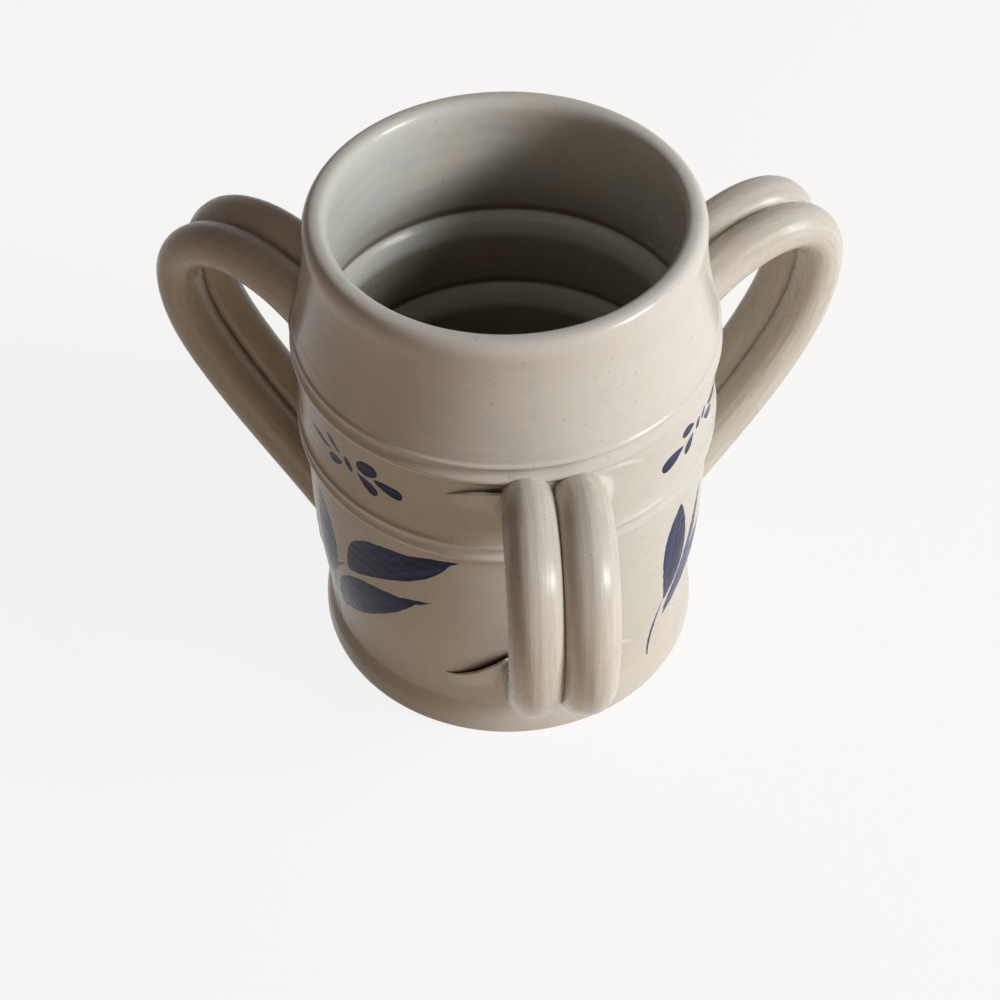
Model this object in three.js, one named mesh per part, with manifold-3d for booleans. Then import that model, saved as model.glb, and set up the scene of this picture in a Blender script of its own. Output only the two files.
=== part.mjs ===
// A stoneware mug with three handles: a thrown body with two turned cordons,
// and on each third of the wall a handle of two round coils, luted on with soft clay.
// Millimetres, +Z up, origin at the middle of the foot.
import * as THREE from 'three';
import { mergeVertices } from 'three/addons/utils/BufferGeometryUtils.js';
import Module from 'manifold-3d';

// Overall sizes of the thrown body.
const HEIGHT = 127;
const WALL = 5.2;
const FLOOR_THICKNESS = 7;
const CLEARANCE = 0.3;

// Rim: the outside radius under the lip, and the lip's rounding.
const RIM_RADIUS = 44.1;
const LIP_WIDTH = 6.1;
const LIP_HEIGHT = 5;
const NECK_BASE_RADIUS = 47.7;

// Foot and belly.
const FOOT_RADIUS = 47.9;
const FOOT_ROUND = 1.1;
const WAIST_RADIUS = 46.2;
const WAIST_HEIGHT = 9.8;
const BELLY_RADIUS = 48.2;
const BELLY_HEIGHT = 47;

// The two cordons, each given by its crisp lower edge, measured down from the rim.
const CORDON_HEIGHT = 4.3;
const CORDON_STEP = 0.4;
const UPPER_CORDON_DROP = 34.2;
const UPPER_CORDON_EDGE = 49.5;
const UPPER_CORDON_TOP = 48.6;
const LOWER_CORDON_DROP = 59.1;
const LOWER_CORDON_EDGE = 49.7;
const LOWER_CORDON_TOP = 49.4;
const CORDON_LEDGE = 1.5;
const BAND_RADIUS = 48.3;

// The wall was pushed out from inside at each cordon, which leaves a groove there.
const GROOVE_LEDGE = 7;
const GROOVE_BACK = 1.7;
const FLOOR_CORNER = 9;

// One coil: its section, its root in the wall and the line of its centre.
const COIL_WIDTH = 11.5;
const COIL_THICKNESS = 10.7;
const COIL_FLARE = 0.1;
const COIL_FLARE_LENGTH = 14;
const ROOT_DEPTH = 2.3;
const ROOT_STUB = 5;
const UPPER_ROOT_DROP = 7.8;
const UPPER_ROOT_ANGLE = 40.5;
const UPPER_ROOT_PULL = 26.6;
const LOWER_ROOT_HEIGHT = 21.3;
const LOWER_ROOT_ANGLE = 44.5;
const LOWER_ROOT_PULL = 43;
const COIL_REACH = 38.6;
const CROWN_DROP = 6.8;
const CROWN_PULL_UP = 17.3;
const CROWN_PULL_DOWN = 15.3;

// Each handle was set by eye. Azimuth is its place round the mug, and turn is how far its plane
// stands off the radial direction. Reach is how far its centre line comes out from its root,
// and drop is how far its outermost point lies below the upper root, both as shares of the usual.
const HANDLES = [
  { name: 'front', azimuth: -78.4, turn: -9, reach: 0.945, drop: 1.45, coils: ['left', 'right'] },
  { name: 'right', azimuth: 28.2, turn: -0.6, reach: 0.995, drop: 0.42, coils: ['front', 'back'] },
  { name: 'left', azimuth: 156.7, turn: -8.6, reach: 1.065, drop: 1.07, coils: ['back', 'front'] },
];

// The soft clay smeared round each joint.
const LUTING_THICKNESS = 3;
const LUTING_TIP_THICKNESS = 0.5;
const LUTING_TIP_HEIGHT = 1.2;
const LUTING_WING_ANGLE = 31;
const LUTING_WING_HEIGHT = 5.5;
const LUTING_FULL_SHARE = 0.45;
const LUTING_WING_SHARE = 0.85;
const UPPER_LUTING_HEIGHT = 14;
const LOWER_LUTING_HEIGHT = 19;

// How finely round forms are divided.
const BODY_SEGMENTS = 60;
const CURVE_STEPS = 3;
const COIL_STEPS = 26;
const COIL_SIDES = 12;
const LUTING_STEPS = 14;
const LUTING_ROWS = 6;

const upperCordonHeight = HEIGHT - UPPER_CORDON_DROP;
const lowerCordonHeight = HEIGHT - LOWER_CORDON_DROP;
const rootRadius = BAND_RADIUS - ROOT_DEPTH;
const coilSpacing = COIL_WIDTH + CLEARANCE;

const wasm = await Module();
wasm.setup();

const glaze = { roughness: 0.34, metalness: 0 };
const bodyMaterial = new THREE.MeshStandardMaterial({ color: 0xb9afa0, ...glaze });
const coilMaterial = new THREE.MeshStandardMaterial({ color: 0xb3a898, ...glaze });
const lutingMaterial = new THREE.MeshStandardMaterial({ color: 0xa99e8e, ...glaze });

function toSolid(geometry) {
  const bare = geometry.clone();
  bare.deleteAttribute('normal');
  bare.deleteAttribute('uv');
  const merged = mergeVertices(bare, 1e-4);
  const corners = merged.index.array;
  const kept = [];
  for (let i = 0; i < corners.length; i += 3) {
    const [a, b, c] = corners.slice(i, i + 3);
    if (a !== b && b !== c && c !== a) kept.push(a, b, c);
  }
  return new wasm.Manifold(new wasm.Mesh({
    numProp: 3,
    vertProperties: Float32Array.from(merged.attributes.position.array),
    triVerts: Uint32Array.from(kept),
  }));
}

function toGeometry(solid) {
  const mesh = solid.getMesh();
  const geometry = new THREE.BufferGeometry();
  geometry.setAttribute('position', new THREE.BufferAttribute(Float32Array.from(mesh.vertProperties), 3));
  geometry.setIndex(new THREE.BufferAttribute(Uint32Array.from(mesh.triVerts), 1));
  geometry.computeVertexNormals();
  return geometry;
}

function turned(points) {
  return new THREE.LatheGeometry(points, BODY_SEGMENTS).rotateX(Math.PI / 2);
}

// A cordon rises from the wall to its crisp lower edge, and fades up to its shallow upper line.
function addCordon(path, height, edgeRadius, topRadius) {
  path.lineTo(edgeRadius - CORDON_LEDGE / 3, height - CORDON_LEDGE / 3);
  path.lineTo(edgeRadius, height);
  path.quadraticCurveTo(edgeRadius, height + CORDON_HEIGHT / 3, topRadius, height + CORDON_HEIGHT);
  path.lineTo(topRadius - CORDON_STEP, height + CORDON_HEIGHT + 2 * CORDON_STEP);
}

// The outside of the mug, from the middle of the foot up to where the lip begins to turn over.
function outerOutline() {
  const path = new THREE.Path();
  path.moveTo(0, 0);
  path.lineTo(FOOT_RADIUS - FOOT_ROUND, 0);
  path.quadraticCurveTo(FOOT_RADIUS, 0, FOOT_RADIUS, FOOT_ROUND);
  path.quadraticCurveTo(FOOT_RADIUS, WAIST_HEIGHT / 2, WAIST_RADIUS, WAIST_HEIGHT);
  path.bezierCurveTo(
    WAIST_RADIUS, (2 * WAIST_HEIGHT + BELLY_HEIGHT) / 3,
    BELLY_RADIUS, (WAIST_HEIGHT + BELLY_HEIGHT) / 2,
    BELLY_RADIUS, BELLY_HEIGHT,
  );
  path.lineTo(BELLY_RADIUS, lowerCordonHeight - CORDON_LEDGE);
  addCordon(path, lowerCordonHeight, LOWER_CORDON_EDGE, LOWER_CORDON_TOP);
  const bandTop = upperCordonHeight - CORDON_LEDGE;
  const bandMiddle = (lowerCordonHeight + CORDON_HEIGHT + bandTop) / 2;
  path.quadraticCurveTo(BAND_RADIUS, bandMiddle, BAND_RADIUS + CORDON_STEP, bandTop);
  addCordon(path, upperCordonHeight, UPPER_CORDON_EDGE, UPPER_CORDON_TOP);
  const lipStart = HEIGHT - LIP_HEIGHT;
  path.bezierCurveTo(
    NECK_BASE_RADIUS - CORDON_STEP, upperCordonHeight + 2 * CORDON_HEIGHT,
    RIM_RADIUS, (upperCordonHeight + 3 * lipStart) / 4,
    RIM_RADIUS, lipStart,
  );
  return path;
}

// The lip turns over, and the inside goes down the wall, past both grooves, to the floor.
function innerOutline() {
  const path = new THREE.Path();
  const lipStart = HEIGHT - LIP_HEIGHT;
  const lipInside = RIM_RADIUS - LIP_WIDTH;
  const upperGroove = UPPER_CORDON_EDGE - WALL;
  const lowerGroove = LOWER_CORDON_EDGE - WALL;
  const insideBelly = BELLY_RADIUS - WALL;
  path.absellipse(RIM_RADIUS - LIP_WIDTH / 2, lipStart, LIP_WIDTH / 2, LIP_HEIGHT, 0, Math.PI, false, 0);
  path.quadraticCurveTo(
    lipInside, (lipStart + upperCordonHeight) / 2,
    upperGroove, upperCordonHeight + CORDON_HEIGHT / 2,
  );
  path.quadraticCurveTo(
    upperGroove - GROOVE_BACK, upperCordonHeight - GROOVE_LEDGE / 2,
    upperGroove - GROOVE_BACK, upperCordonHeight - GROOVE_LEDGE,
  );
  path.quadraticCurveTo(
    upperGroove - GROOVE_BACK, (upperCordonHeight + lowerCordonHeight) / 2,
    lowerGroove, lowerCordonHeight + CORDON_HEIGHT / 2,
  );
  path.quadraticCurveTo(
    insideBelly - GROOVE_BACK / 4, lowerCordonHeight - GROOVE_LEDGE / 2,
    insideBelly - GROOVE_BACK / 4, lowerCordonHeight - GROOVE_LEDGE,
  );
  path.lineTo(insideBelly, BELLY_HEIGHT);
  path.lineTo(WAIST_RADIUS - WALL, FLOOR_THICKNESS + FLOOR_CORNER);
  path.quadraticCurveTo(
    WAIST_RADIUS - WALL, FLOOR_THICKNESS,
    WAIST_RADIUS - WALL - FLOOR_CORNER, FLOOR_THICKNESS,
  );
  path.lineTo(0, FLOOR_THICKNESS);
  return path;
}

// Moves each point of an outline outwards, square to its two neighbours' edges.
function grown(points, distance) {
  const normal = (a, b) => new THREE.Vector2(b.y - a.y, a.x - b.x).normalize();
  return points.map((point, i) => {
    const before = normal(points[Math.max(i - 1, 0)], points[Math.max(i, 1)]);
    const last = points.length - 1;
    const after = normal(points[Math.min(i, last - 1)], points[Math.min(i + 1, last)]);
    const miter = before.clone().add(after).multiplyScalar(distance / (1 + before.dot(after)));
    return point.clone().add(miter);
  });
}

const outerPoints = outerOutline().getPoints(CURVE_STEPS);

// The radius of the wall's outside at one height, between two points of the outline.
function wallRadiusAt(height) {
  const i = outerPoints.findIndex((point, k) => k > 1 && point.y >= height);
  const [low, high] = [outerPoints[i - 1], outerPoints[i]];
  return THREE.MathUtils.mapLinear(height, low.y, high.y, low.x, high.x);
}

function thrownBody() {
  const points = [...outerPoints, ...innerOutline().getPoints(CURVE_STEPS).slice(1)];
  const mesh = new THREE.Mesh(toGeometry(toSolid(turned(points))), bodyMaterial);
  mesh.name = 'thrown_body';
  return mesh;
}

// The full outside of the mug with a clearance, to cut what stands against the wall.
function wallCutter() {
  const points = grown(outerPoints, CLEARANCE);
  points[0].x = 0;
  points.push(new THREE.Vector2(0, points.at(-1).y));
  return turned(points);
}

// A closed skin over rings of equal length, with a fan over the first and the last.
function skin(rings) {
  const sides = rings[0].length;
  const middle = (ring) => ring.reduce((sum, p) => sum.add(p), new THREE.Vector3()).divideScalar(sides);
  const points = [...rings.flat(), middle(rings[0]), middle(rings.at(-1))];
  const firstCentre = rings.length * sides;
  const index = [];
  for (let side = 0; side < sides; side += 1) {
    const next = (side + 1) % sides;
    for (let ring = 0; ring < rings.length - 1; ring += 1) {
      const low = ring * sides;
      const high = low + sides;
      index.push(low + side, low + next, high + next, low + side, high + next, high + side);
    }
    const last = (rings.length - 1) * sides;
    index.push(firstCentre, next, side, firstCentre + 1, last + side, last + next);
  }
  const geometry = new THREE.BufferGeometry().setFromPoints(points);
  geometry.setIndex(index);
  return geometry;
}

// A wad of luting clay on azimuth 0: thick behind the coils, and drawn out into a wing to each
// side. A grown wad, to cut the coils that sit on it, stands proud of it by that distance and
// has its back well inside the wall.
function lutingWad(height, middleHeight, grow = 0) {
  const rings = [];
  for (let step = 0; step <= LUTING_STEPS; step += 1) {
    const across = (2 * step) / LUTING_STEPS - 1;
    const out = Math.abs(across);
    const full = 1 - THREE.MathUtils.smoothstep(out, LUTING_FULL_SHARE, LUTING_WING_SHARE);
    const wing = THREE.MathUtils.lerp(LUTING_WING_HEIGHT, LUTING_TIP_HEIGHT, out);
    const tall = wing + (height - wing) * full + 2 * grow;
    const thick = THREE.MathUtils.lerp(LUTING_THICKNESS, LUTING_TIP_THICKNESS, out * out);
    const azimuth = THREE.MathUtils.degToRad(across * LUTING_WING_ANGLE);
    const onWall = (row, proud) => {
      const up = middleHeight + tall * (row / LUTING_ROWS - 0.5);
      const radius = wallRadiusAt(up) + CLEARANCE + proud;
      return new THREE.Vector3(radius * Math.cos(azimuth), radius * Math.sin(azimuth), up);
    };
    const swell = (row) => thick * Math.sin((Math.PI * row) / LUTING_ROWS);
    const ring = [];
    for (let row = 0; row <= LUTING_ROWS; row += 1) ring.push(onWall(row, -4 * grow));
    for (let row = LUTING_ROWS; row >= 0; row -= 1) ring.push(onWall(row, swell(row) + grow));
    rings.push(ring);
  }
  return skin(rings);
}

const upperRootHeight = upperCordonHeight - UPPER_ROOT_DROP;
const upperLutingMiddle = upperCordonHeight - CORDON_LEDGE - UPPER_LUTING_HEIGHT / 2;
const lutings = [
  { place: 'upper', height: UPPER_LUTING_HEIGHT, middle: upperLutingMiddle },
  { place: 'lower', height: LOWER_LUTING_HEIGHT, middle: LOWER_ROOT_HEIGHT },
];

// The centre line of a coil in its handle's own frame: x outwards from the root, z up.
function coilLine({ reach, drop }) {
  const from = (x, z, angle, length) => {
    const turn = THREE.MathUtils.degToRad(angle);
    return new THREE.Vector3(x + length * Math.cos(turn), 0, z + length * Math.sin(turn));
  };
  const upper = from(0, upperRootHeight, 0, 0);
  const lower = from(0, LOWER_ROOT_HEIGHT, 0, 0);
  const crown = from(reach * COIL_REACH, upperRootHeight - drop * CROWN_DROP, 0, 0);
  const line = new THREE.CurvePath();
  line.add(new THREE.LineCurve3(from(0, upper.z, UPPER_ROOT_ANGLE, -ROOT_STUB), upper));
  line.add(new THREE.CubicBezierCurve3(
    upper,
    from(0, upper.z, UPPER_ROOT_ANGLE, UPPER_ROOT_PULL),
    from(crown.x, crown.z, 90, CROWN_PULL_UP),
    crown,
  ));
  line.add(new THREE.CubicBezierCurve3(
    crown,
    from(crown.x, crown.z, -90, CROWN_PULL_DOWN),
    from(0, lower.z, LOWER_ROOT_ANGLE, LOWER_ROOT_PULL),
    lower,
  ));
  line.add(new THREE.LineCurve3(lower, from(0, lower.z, LOWER_ROOT_ANGLE, -ROOT_STUB)));
  return line;
}

// An oval coil along its line, a little thicker where each end was pressed on.
function coil(line, sideways) {
  const length = line.getLength();
  const across = new THREE.Vector3(0, 1, 0);
  const rings = [];
  for (let step = 0; step <= COIL_STEPS; step += 1) {
    const along = step / COIL_STEPS;
    const fromEnd = Math.min(along, 1 - along) * length - ROOT_STUB;
    const flare = 1 + COIL_FLARE * (1 - THREE.MathUtils.smoothstep(fromEnd, 0, COIL_FLARE_LENGTH));
    const outward = line.getTangent(along).cross(across).normalize();
    const centre = line.getPoint(along).addScaledVector(across, sideways);
    const ring = [];
    for (let side = 0; side < COIL_SIDES; side += 1) {
      const angle = (2 * Math.PI * side) / COIL_SIDES;
      ring.push(centre.clone()
        .addScaledVector(across, (COIL_WIDTH / 2) * Math.cos(angle))
        .addScaledVector(outward, (COIL_THICKNESS / 2) * flare * Math.sin(angle)));
    }
    rings.push(ring);
  }
  return skin(rings);
}

// Two coils side by side, with a wad of luting at each joint. The coils are cut where they
// meet the wall and the wads, so that every piece stands clear of its neighbour.
function handle(spec) {
  const azimuth = THREE.MathUtils.degToRad(spec.azimuth);
  const group = new THREE.Group();
  group.position.set(rootRadius * Math.cos(azimuth), rootRadius * Math.sin(azimuth), 0);
  group.rotation.z = THREE.MathUtils.degToRad(spec.azimuth + spec.turn);
  group.updateMatrixWorld(true);
  const toHandle = group.matrixWorld.clone().invert();

  const wads = lutings.map(({ height, middle }) => lutingWad(height, middle, CLEARANCE).rotateZ(azimuth));
  const cutters = [wallCutter(), ...wads].map((geometry) => toSolid(geometry.applyMatrix4(toHandle)));

  const line = coilLine(spec);
  spec.coils.forEach((side, i) => {
    const whole = toSolid(coil(line, (i - 0.5) * coilSpacing));
    const cut = cutters.reduce((solid, cutter) => solid.subtract(cutter), whole);
    const mesh = new THREE.Mesh(toGeometry(cut), coilMaterial);
    mesh.name = `${spec.name}_coil_${side}`;
    group.add(mesh);
  });
  return group;
}

function luting({ place, height, middle }, spec) {
  const mesh = new THREE.Mesh(toGeometry(toSolid(lutingWad(height, middle))), lutingMaterial);
  mesh.name = `${spec.name}_${place}_luting`;
  mesh.rotation.z = THREE.MathUtils.degToRad(spec.azimuth);
  return mesh;
}

const mug = new THREE.Group();
mug.add(thrownBody());
for (const spec of HANDLES) {
  mug.add(handle(spec));
  for (const wad of lutings) mug.add(luting(wad, spec));
}

export default mug;
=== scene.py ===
"""A stoneware mug with three handles of paired coils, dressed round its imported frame.

The thrown body, the six coils and the six wads of luting clay are built again with finer
surfaces than the frame's solids, and each stands for its own node. All of them wear one
satin glaze over a warm grey stoneware, and the body has blue brushwork under its glaze.
Sizes are in millimetres and are turned into metres as the meshes are made.
"""

import logging
import math
from dataclasses import dataclass, field
from enum import Enum

import bmesh
import bpy
from mathutils import Matrix, Vector, noise


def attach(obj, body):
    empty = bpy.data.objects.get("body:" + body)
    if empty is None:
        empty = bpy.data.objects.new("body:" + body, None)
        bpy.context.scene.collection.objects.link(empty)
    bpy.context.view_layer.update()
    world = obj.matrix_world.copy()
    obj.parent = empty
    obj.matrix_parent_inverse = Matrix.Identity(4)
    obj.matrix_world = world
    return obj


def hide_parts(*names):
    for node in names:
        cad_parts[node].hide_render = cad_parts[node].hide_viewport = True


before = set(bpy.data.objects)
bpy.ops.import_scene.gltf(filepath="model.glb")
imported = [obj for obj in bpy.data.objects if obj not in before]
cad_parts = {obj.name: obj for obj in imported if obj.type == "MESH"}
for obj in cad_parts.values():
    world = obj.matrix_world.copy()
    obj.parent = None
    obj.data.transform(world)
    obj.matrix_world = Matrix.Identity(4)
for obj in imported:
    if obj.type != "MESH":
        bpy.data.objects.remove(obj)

MM = 0.001
log = logging.getLogger("mug")

Point = tuple[float, float]
Spot = tuple[float, float, float]
Colour = Spot
Socket = bpy.types.NodeSocket


class Slot(Enum):
    """The record's material slots."""

    BODY = "body_glaze"
    COIL = "coil_glaze"
    LUTING = "luting_glaze"


class End(Enum):
    """The two places where a handle meets the wall."""

    UPPER = "upper"
    LOWER = "lower"


def smoothstep(low: float, high: float, value: float) -> float:
    """Eases from 0 at low to 1 at high."""
    share = min(1.0, max(0.0, (value - low) / (high - low)))
    return share * share * (3.0 - 2.0 * share)


def bezier(points: list[Point], steps: int) -> list[Point]:
    """Samples a Bezier curve of any degree, without its first point.

    Args:
        points: the control points, as radius and height.
        steps: how many points to give.

    Returns:
        The points along the curve, the last control point included.
    """
    found = []
    for step in range(1, steps + 1):
        share = step / steps
        level = list(points)
        while len(level) > 1:
            level = [
                (a[0] + (b[0] - a[0]) * share, a[1] + (b[1] - a[1]) * share)
                for a, b in zip(level, level[1:])
            ]
        found.append(level[0])
    return found


def draw_on(path: list[Point], steps: int, *points: Point) -> None:
    """Draws a path on from its end, along the Bezier curve of these further points."""
    path += bezier([path[-1], *points], steps)


def finished_object(name: str, mesh: bmesh.types.BMesh) -> bpy.types.Object:
    """Closes off a mesh in the making and puts it in the scene.

    Args:
        name: the piece's name.
        mesh: the mesh, with its points in place in metres.

    Returns:
        The new object, smooth shaded, at the origin.
    """
    bmesh.ops.remove_doubles(mesh, verts=mesh.verts, dist=1e-7)
    bmesh.ops.recalc_face_normals(mesh, faces=mesh.faces)
    data = bpy.data.meshes.new(name)
    mesh.to_mesh(data)
    mesh.free()
    for polygon in data.polygons:
        polygon.use_smooth = True
    piece = bpy.data.objects.new(name, data)
    bpy.context.scene.collection.objects.link(piece)
    return piece


def seat(piece: bpy.types.Object, node: str, looks: list[bpy.types.Material]) -> None:
    """Lets a finished piece stand for its node, and gives it its looks.

    Args:
        piece: the finished object.
        node: the frame's node that it stands for.
        looks: its materials, in the order of the mesh's own numbers for them.
    """
    for look in looks:
        piece.data.materials.append(look)
    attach(piece, "root")
    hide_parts(node)
    log.info("%s stands for %s, %d faces", piece.name, node, len(piece.data.polygons))


class Board:
    """A node tree with short ways to add and join its nodes."""

    def __init__(self, tree: bpy.types.NodeTree) -> None:
        """Keeps the tree that the nodes go into."""
        self.tree = tree

    def add(self, kind: str, **settings: object) -> bpy.types.Node:
        """Adds a node of one kind with its settings."""
        node = self.tree.nodes.new(kind)
        for name, value in settings.items():
            setattr(node, name, value)
        return node

    def put(self, value: object, socket: Socket) -> None:
        """Joins a socket to another, or sets its value."""
        if isinstance(value, Socket):
            self.tree.links.new(value, socket)
        else:
            socket.default_value = value

    def fill(self, node: bpy.types.Node, *values: object, **named: object) -> bpy.types.Node:
        """Fills a node's inputs.

        Args:
            node: the node.
            values: sockets or constants for its first inputs, in their order.
            named: sockets or constants by the input's name, with _ for a space.

        Returns:
            The same node.
        """
        for value, socket in zip(values, node.inputs):
            self.put(value, socket)
        for name, value in named.items():
            self.put(value, node.inputs[name.replace("_", " ")])
        return node

    def group(self, tree: bpy.types.NodeTree, **named: object) -> bpy.types.Node:
        """Places a node group and fills its inputs by name."""
        return self.fill(self.add("ShaderNodeGroup", node_tree=tree), **named)

    def math(self, operation: str, *values: object, clamp: bool = False) -> Socket:
        """Adds a Math node over one to three values and gives its result."""
        node = self.add("ShaderNodeMath", operation=operation, use_clamp=clamp)
        return self.fill(node, *values).outputs[0]

    def times(self, first: object, second: object) -> Socket:
        """Multiplies two values."""
        return self.math("MULTIPLY", first, second)

    def plus(self, first: object, second: object) -> Socket:
        """Adds two values."""
        return self.math("ADD", first, second)

    def vectors(self, operation: str, first: object, second: object) -> bpy.types.Node:
        """Adds a Vector Math node over two vectors."""
        return self.fill(self.add("ShaderNodeVectorMath", operation=operation), first, second)

    def split(self, vector: object) -> tuple[Socket, ...]:
        """Gives a vector's three numbers."""
        return tuple(self.fill(self.add("ShaderNodeSeparateXYZ"), vector).outputs)

    def join(self, *values: object) -> Socket:
        """Makes a vector of up to three numbers, with 0 for the others."""
        return self.fill(self.add("ShaderNodeCombineXYZ"), *values).outputs[0]

    def ramp(self, value: object, low: float, high: float, to: Point = (0.0, 1.0)) -> Socket:
        """Maps a value from low..high to another range with soft ends."""
        node = self.add("ShaderNodeMapRange", interpolation_type="SMOOTHSTEP")
        return self.fill(node, value, low, high, *to).outputs[0]

    def blend(self, share: object, first: object, second: object, how: str = "MIX") -> Socket:
        """Mixes two colours.

        Args:
            share: how much of the second colour shows, 0 to 1.
            first: the first colour, or a socket that gives it.
            second: the second colour, or a socket that gives it.
            how: the node's way of mixing.

        Returns:
            The mixed colour.
        """
        node = self.add("ShaderNodeMix", data_type="RGBA", blend_type=how)
        self.put(share, node.inputs["Factor"])
        colours = [socket for socket in node.inputs if socket.type == "RGBA"]
        for item, socket in zip((first, second), colours):
            self.put((*item, 1.0) if isinstance(item, tuple) else item, socket)
        return next(socket for socket in node.outputs if socket.type == "RGBA")

    def cloud(self, place: object, scale: float, detail: float, rough: float = 0.5) -> Socket:
        """Adds a noise texture at a place and gives its value."""
        node = self.add("ShaderNodeTexNoise")
        return self.fill(node, Vector=place, Scale=scale, Detail=detail, Roughness=rough).outputs["Fac"]

    def stretch(self, place: object, scale: Spot) -> Socket:
        """Scales a place along its axes."""
        return self.fill(self.add("ShaderNodeMapping"), Vector=place, Scale=scale).outputs["Vector"]


def new_group(name: str, inputs: dict[str, str], outputs: dict[str, str]) -> tuple[Board, dict, dict]:
    """Starts a shader node group.

    Args:
        name: the group's name.
        inputs: socket kinds by input name, Float, Vector or Color.
        outputs: socket kinds by output name.

    Returns:
        The group's board, its input sockets by name, and its output sockets by name.
    """
    tree = bpy.data.node_groups.new(name, "ShaderNodeTree")
    for names, way in ((inputs, "INPUT"), (outputs, "OUTPUT")):
        for label, kind in names.items():
            tree.interface.new_socket(label, in_out=way, socket_type="NodeSocket" + kind)
    board = Board(tree)
    given, made = board.add("NodeGroupInput"), board.add("NodeGroupOutput")
    return (
        board,
        {label: given.outputs[label] for label in inputs},
        {label: made.inputs[label] for label in outputs},
    )


@dataclass(frozen=True)
class Fleck:
    """One kind of small mark, in some of the cells that fill the glaze.

    Its fields are how many cells lie along a metre, how far a mark goes out in its cell, the
    share of cells that have none, and how strongly its colour shows.
    """

    cells: float
    reach: float
    rarity: float
    strength: float
    colour: Colour

    def dots(self, board: Board, place: Socket) -> Socket:
        """Scatters the marks.

        Args:
            board: the group's board.
            place: the object's coordinates, in metres.

        Returns:
            1 in the middle of a mark and 0 beside it.
        """
        cells = board.add("ShaderNodeTexVoronoi", feature="F1")
        board.fill(cells, Vector=place, Scale=self.cells)
        near = board.ramp(cells.outputs["Distance"], self.reach, self.reach * 0.45)
        split = board.fill(board.add("ShaderNodeSeparateColor"), cells.outputs["Color"])
        chosen = board.math("GREATER_THAN", split.outputs[0], self.rarity)
        return board.times(near, chosen)


IRON_SPECKS = Fleck(560.0, 0.16, 0.86, 0.4, (0.16, 0.11, 0.07))
PINHOLES = Fleck(330.0, 0.13, 0.8, 0.28, (0.24, 0.18, 0.12))
PALE_FLECKS = Fleck(250.0, 0.15, 0.9, 0.22, (0.8, 0.77, 0.7))


def glaze_mottle_group() -> bpy.types.NodeTree:
    """Builds the glaze's cloudy colour, with its iron specks and pinholes.

    Returns:
        A group from a place and three tones to a colour, a gloss share and a surface height.
    """
    board, given, made = new_group(
        "glaze mottle",
        {"Place": "Vector", "Ground": "Color", "Warm": "Color", "Cool": "Color"},
        {"Colour": "Color", "Dullness": "Float", "Height": "Float"},
    )
    wide = board.cloud(given["Place"], 38.0, 3.0, 0.55)
    fine = board.cloud(given["Place"], 210.0, 4.0, 0.62)
    haze = board.cloud(given["Place"], 900.0, 2.0, 0.5)
    warmed = board.blend(board.ramp(wide, 0.52, 0.72), given["Ground"], given["Warm"])
    cooled = board.blend(board.ramp(fine, 0.5, 0.74), warmed, given["Cool"])
    grain = board.blend(haze, (0.42, 0.42, 0.42), (0.58, 0.58, 0.58))
    tinted = board.blend(0.5, cooled, grain, "SOFT_LIGHT")
    kinds = (IRON_SPECKS, PINHOLES, PALE_FLECKS)
    dots = {kind: kind.dots(board, given["Place"]) for kind in kinds}
    for kind, marks in dots.items():
        tinted = board.blend(board.times(marks, kind.strength), tinted, kind.colour)
    pits = dots[PINHOLES]
    board.put(tinted, made["Colour"])
    board.put(board.plus(board.ramp(fine, 0.3, 0.8), board.times(pits, 0.8)), made["Dullness"])
    bumps = board.plus(board.times(fine, 0.5), board.times(wide, 0.9))
    bumps = board.plus(bumps, board.times(haze, 0.06))
    board.put(board.math("SUBTRACT", bumps, board.times(pits, 0.5)), made["Height"])
    return board.tree


def throwing_lines_group() -> bpy.types.NodeTree:
    """Builds the fine lines that the thrower's fingers leave round the wall.

    Returns:
        A group from a place to a value that runs along the lines.
    """
    board, given, made = new_group("throwing lines", {"Place": "Vector"}, {"Value": "Float"})
    fine = board.cloud(board.stretch(given["Place"], (9.0, 9.0, 900.0)), 1.0, 3.0, 0.65)
    wide = board.cloud(board.stretch(given["Place"], (4.0, 4.0, 260.0)), 1.0, 2.0, 0.5)
    board.put(board.plus(board.times(fine, 0.45), board.times(wide, 0.55)), made["Value"])
    return board.tree


def pulled_streaks_group() -> bpy.types.NodeTree:
    """Builds the lengthwise streaks that a wet hand leaves on a pulled coil.

    Returns:
        A group from a coil's own map, length along it and share round it, to a streak value.
    """
    sockets = {"Map": "Vector", "Seed": "Float"}
    board, given, made = new_group("pulled streaks", sockets, {"Value": "Float"})
    crosswise, lengthwise = 7.0, 11.0
    along, share, _ = board.split(given["Map"])
    turn = board.times(share, math.tau)
    place = board.join(
        board.times(board.math("COSINE", turn), crosswise),
        board.times(board.math("SINE", turn), crosswise),
        board.math("MULTIPLY_ADD", along, lengthwise, given["Seed"]),
    )
    board.put(board.cloud(place, 1.0, 4.0, 0.7), made["Value"])
    return board.tree


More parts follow.
